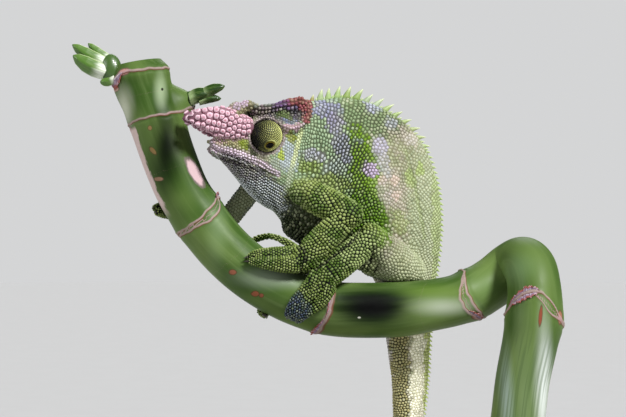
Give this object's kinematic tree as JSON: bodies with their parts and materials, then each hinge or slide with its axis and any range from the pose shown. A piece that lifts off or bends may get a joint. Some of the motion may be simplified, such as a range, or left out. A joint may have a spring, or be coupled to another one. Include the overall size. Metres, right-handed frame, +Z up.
{
  "type": "horned chameleon on a bamboo perch",
  "caption": "Still, life-size model of a horned chameleon gripping a cut, curled bamboo stem, held by a rod on a flat display base.",
  "frame": {"origin": "middle of the display base's underside, where the part rests", "axes": "+X from the animal's head towards its back along the base's long side, -Y the animal's left side, +Z up"},
  "size_m": [0.155, 0.084, 0.177],
  "materials": {
    "skin": "matte, scaly",
    "horn": "matte, plated",
    "eye_turret": "matte, granular",
    "eyeball": "wet gloss",
    "bamboo": "smooth, waxy",
    "shoot": "smooth",
    "stand_wood": "satin, dark stained",
    "stand_steel": "brushed"
  },
  "bodies": {
    "root": {"head": "skin", "lower_jaw": "skin", "trunk": "skin", "tail_base": "skin", "tail_middle": "skin", "tail_coil": "skin", "foreleg_left_upper": "skin", "foreleg_left_lower": "skin", "foreleg_left_toes_outer": "skin", "foreleg_left_toes_inner": "skin", "foreleg_right_upper": "skin", "foreleg_right_lower": "skin", "foreleg_right_toes_outer": "skin", "foreleg_right_toes_inner": "skin", "hindleg_left_upper": "skin", "hindleg_left_lower": "skin", "hindleg_left_toes_outer": "skin", "hindleg_left_toes_inner": "skin", "hindleg_right_upper": "skin", "hindleg_right_lower": "skin", "hindleg_right_toes_outer": "skin", "hindleg_right_toes_inner": "skin", "horn_left": "horn", "horn_right": "horn", "eye_turret_left": "eye_turret", "eye_turret_right": "eye_turret", "eyeball_left": "eyeball", "eyeball_right": "eyeball", "stem": "bamboo", "shoot_top": "shoot", "shoot_side": "shoot", "stand_base": "stand_wood", "stand_rod": "stand_steel"}
  },
  "joints": []
}
